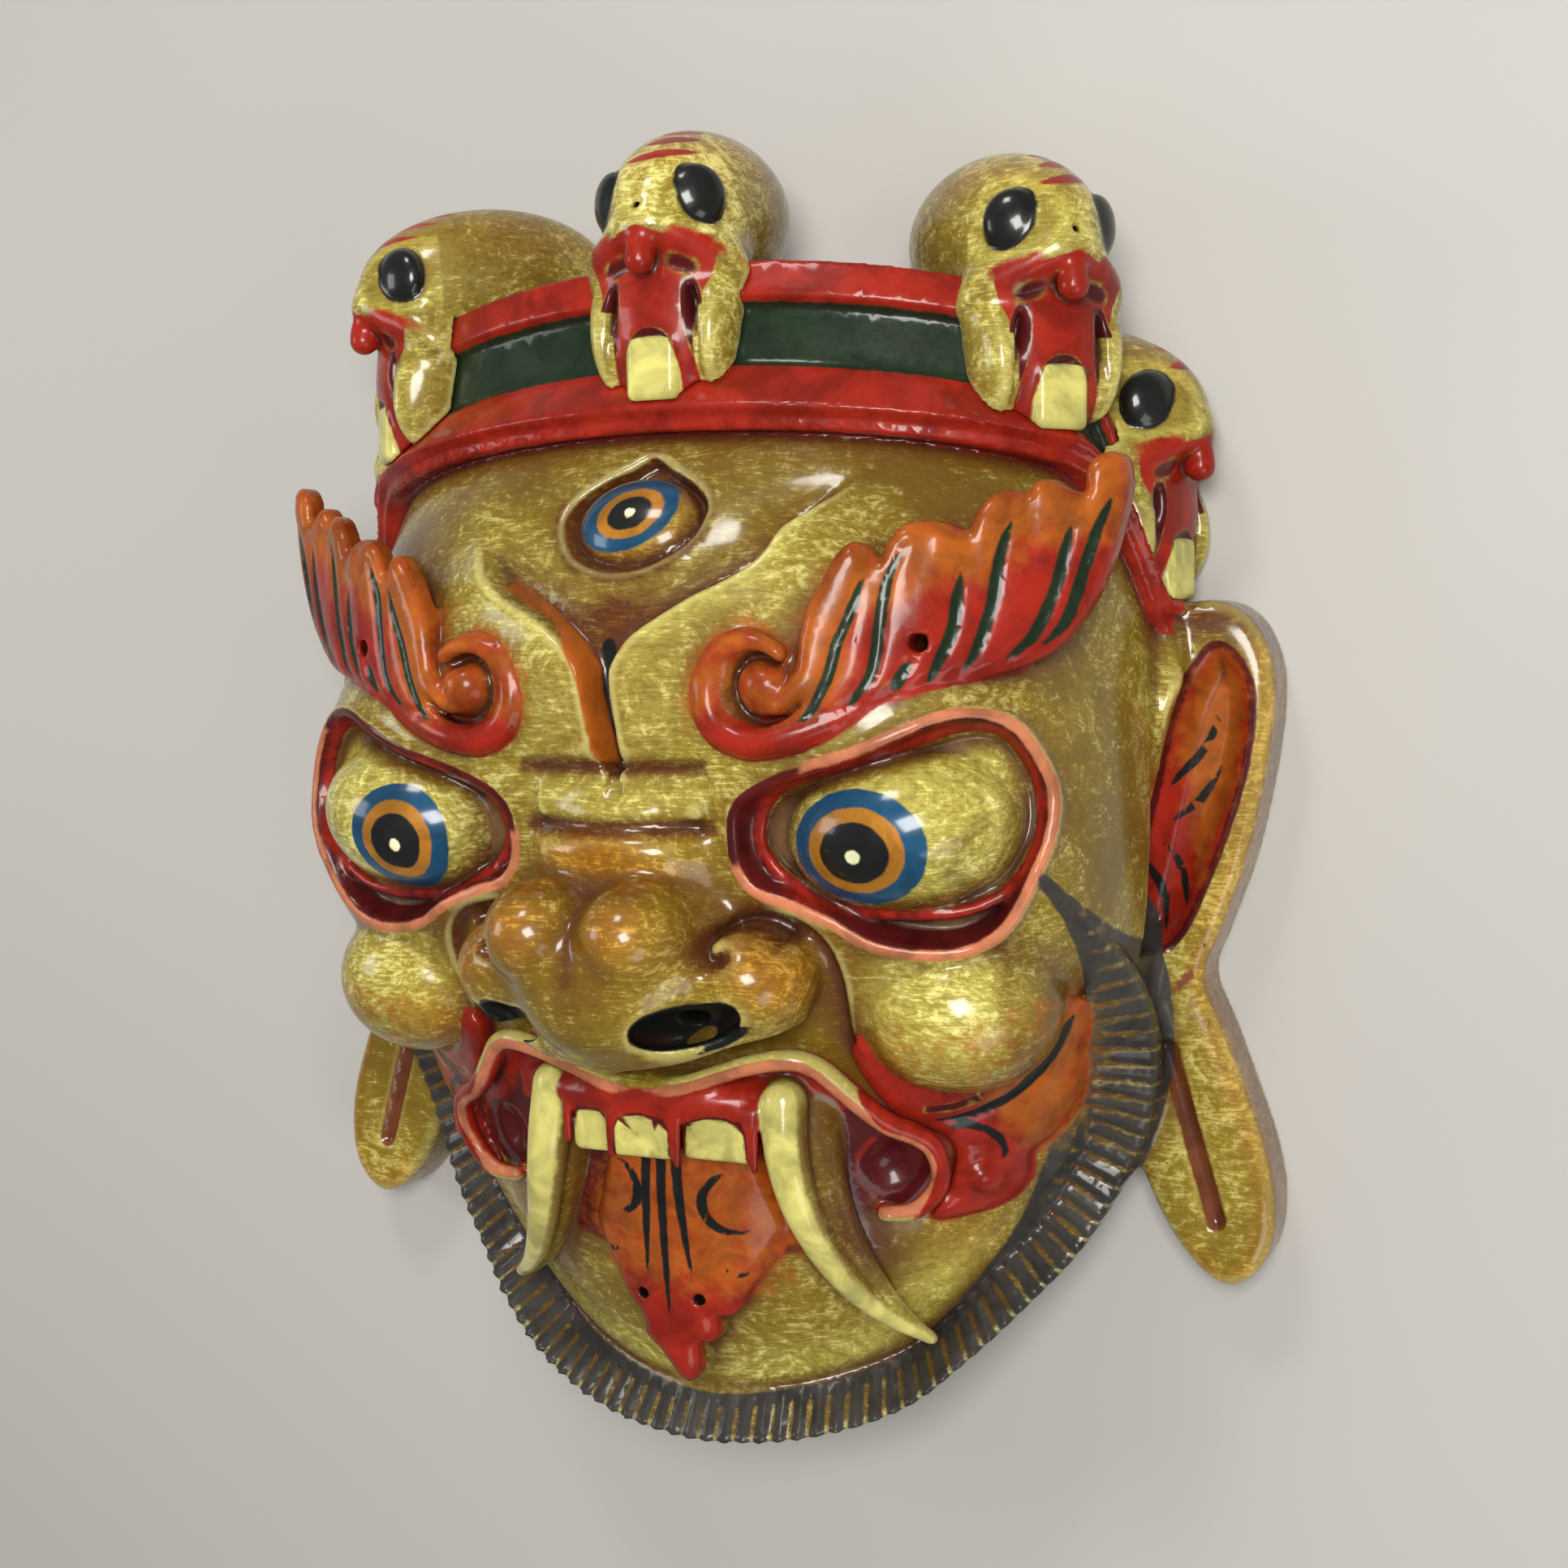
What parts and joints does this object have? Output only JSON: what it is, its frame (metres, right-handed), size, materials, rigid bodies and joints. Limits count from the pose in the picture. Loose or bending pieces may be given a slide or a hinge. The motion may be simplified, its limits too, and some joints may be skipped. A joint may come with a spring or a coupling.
{
  "type": "mask",
  "caption": "Carved and painted wooden guardian mask with a fierce three-eyed face, fangs, hanging tongue and a striped crown of skulls, hollow and open at the back.",
  "frame": {"origin": "middle of the flat open back, where the mask rests when it lies down", "axes": "+Z the way the face looks, away from the surface it lies on; +Y to the top of the head; +X to the viewer's right"},
  "size_m": [0.3586, 0.4338, 0.1681],
  "materials": {
    "carved_face": "antiqued gold and colours on carved wood, under glossy lacquer",
    "skulls": "antiqued gold on carved wood, under glossy lacquer"
  },
  "bodies": {
    "root": {"mask": "carved_face", "skull_middle": "skulls", "skull_front_right": "skulls", "skull_front_left": "skulls", "skull_side_right": "skulls", "skull_side_left": "skulls"}
  },
  "joints": []
}
